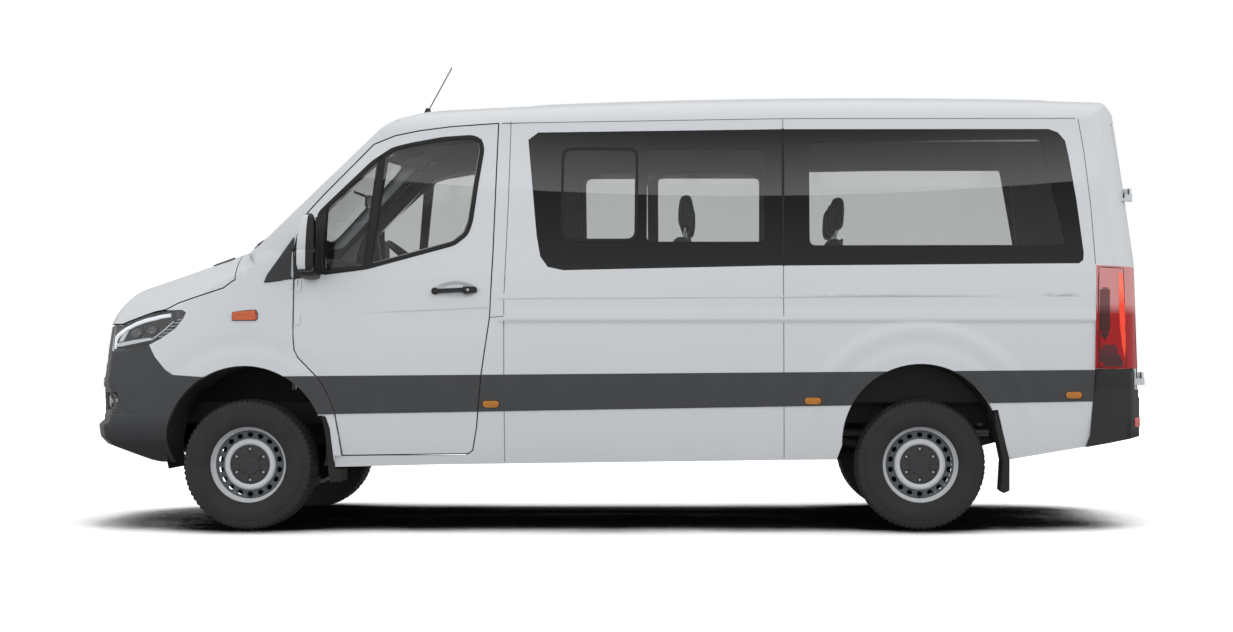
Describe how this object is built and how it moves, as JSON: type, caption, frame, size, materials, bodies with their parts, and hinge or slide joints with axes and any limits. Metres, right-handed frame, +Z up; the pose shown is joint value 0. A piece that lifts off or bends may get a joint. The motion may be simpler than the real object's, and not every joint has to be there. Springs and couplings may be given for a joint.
{
  "type": "four-wheel-drive minibus",
  "caption": "White high-riding passenger van with a sloping nose, grey side cladding, tinted side glass, opening doors, steering and rolling wheels.",
  "frame": {"origin": "centre of the length and width at ground level, under the middle of the vehicle", "axes": "+X towards the tail along the length, -Y towards the vehicle's left side, +Z up"},
  "size_m": [5.932, 2.344, 2.5954],
  "materials": {
    "body_white": "gloss",
    "tinted_glass": "polished",
    "tyre_rubber": "matte",
    "wheel_silver": "satin",
    "grey_trim": "grained",
    "black_trim": "grained",
    "flap_rubber": "matte",
    "headlight_clear": "clear gloss",
    "tail_light_red": "gloss",
    "underbody_iron": "painted",
    "bare_steel": "dull",
    "inner_plastic": "grained",
    "seat_fabric": "woven"
  },
  "bodies": {
    "body": {"body_side_left": "body_white", "body_side_right": "body_white", "sliding_door": "body_white", "side_windows_left": "tinted_glass", "side_windows_right": "tinted_glass", "roof_panel": "body_white", "wing_left": "body_white", "wing_right": "body_white", "windscreen_frame": "body_white", "windscreen": "tinted_glass", "grille": "grey_trim", "front_bumper": "grey_trim", "headlights": "headlight_clear", "tail_lights": "tail_light_red", "rear_bumper": "grey_trim", "rear_door_hinges": "body_white", "floor_pan": "body_white", "chassis_frame": "underbody_iron", "engine_block": "underbody_iron", "propeller_shaft": "bare_steel", "fuel_tank": "inner_plastic", "exhaust": "bare_steel", "mud_flaps": "flap_rubber", "arch_liners": "inner_plastic", "dashboard": "inner_plastic", "steering_wheel": "inner_plastic", "front_seats": "seat_fabric", "rear_seats": "seat_fabric", "antenna": "black_trim", "front_suspension": "underbody_iron", "rear_axle": "underbody_iron", "leaf_springs": "underbody_iron"},
    "bonnet": {"bonnet": "body_white"},
    "front_door_left": {"front_door_left": "body_white", "door_window_left": "tinted_glass", "mirror_left": "black_trim"},
    "front_door_right": {"front_door_right": "body_white", "door_window_right": "tinted_glass", "mirror_right": "black_trim"},
    "rear_door_left": {"rear_door_left": "body_white", "rear_window_left": "tinted_glass"},
    "rear_door_right": {"rear_door_right": "body_white", "rear_window_right": "tinted_glass"},
    "steering_left": {"knuckle_left": "underbody_iron"},
    "steering_right": {"knuckle_right": "underbody_iron"},
    "wheel_front_left": {"tyre_front_left": "tyre_rubber", "rim_front_left": "wheel_silver"},
    "wheel_front_right": {"tyre_front_right": "tyre_rubber", "rim_front_right": "wheel_silver"},
    "wheel_rear_left": {"tyre_rear_left": "tyre_rubber", "rim_rear_left": "wheel_silver"},
    "wheel_rear_right": {"tyre_rear_right": "tyre_rubber", "rim_rear_right": "wheel_silver"}
  },
  "joints": [
    {"name": "steering_left_turn", "type": "hinge", "parent": "body", "child": "steering_left", "pos_m": [-1.95, -0.76, 0.356], "axis": [0, 0, 1], "range_deg": [-35, 35]},
    {"name": "steering_right_turn", "type": "hinge", "parent": "body", "child": "steering_right", "pos_m": [-1.95, 0.76, 0.356], "axis": [0, 0, 1], "range_deg": [-35, 35]},
    {"name": "wheel_front_left_spin", "type": "hinge", "parent": "steering_left", "child": "wheel_front_left", "pos_m": [-1.95, -0.855, 0.356], "axis": [0, -1, 0], "continuous": true},
    {"name": "wheel_front_right_spin", "type": "hinge", "parent": "steering_right", "child": "wheel_front_right", "pos_m": [-1.95, 0.855, 0.356], "axis": [0, -1, 0], "continuous": true},
    {"name": "wheel_rear_left_spin", "type": "hinge", "parent": "body", "child": "wheel_rear_left", "pos_m": [1.715, -0.855, 0.356], "axis": [0, -1, 0], "continuous": true},
    {"name": "wheel_rear_right_spin", "type": "hinge", "parent": "body", "child": "wheel_rear_right", "pos_m": [1.715, 0.855, 0.356], "axis": [0, -1, 0], "continuous": true},
    {"name": "front_door_left_swing", "type": "hinge", "parent": "body", "child": "front_door_left", "pos_m": [-1.676, -0.977, 1.24], "axis": [0, -0.0786, -0.9969], "range_deg": [0, 70]},
    {"name": "front_door_right_swing", "type": "hinge", "parent": "body", "child": "front_door_right", "pos_m": [-1.676, 0.977, 1.24], "axis": [0, -0.0786, 0.9969], "range_deg": [0, 70]},
    {"name": "rear_door_left_swing", "type": "hinge", "parent": "body", "child": "rear_door_left", "pos_m": [2.91, -0.79963, 1.447], "axis": [0.0508, -0.0759, -0.9958], "range_deg": [0, 180]},
    {"name": "rear_door_right_swing", "type": "hinge", "parent": "body", "child": "rear_door_right", "pos_m": [2.91, 0.79963, 1.447], "axis": [-0.0508, -0.0759, 0.9958], "range_deg": [0, 180]},
    {"name": "bonnet_lift", "type": "hinge", "parent": "body", "child": "bonnet", "pos_m": [-2.01, 0, 1.52], "axis": [0, 1, 0], "range_deg": [0, 60]}
  ],
  "couplings": [
    {"joint": "steering_right_turn", "follows": "steering_left_turn", "ratio": 1}
  ]
}
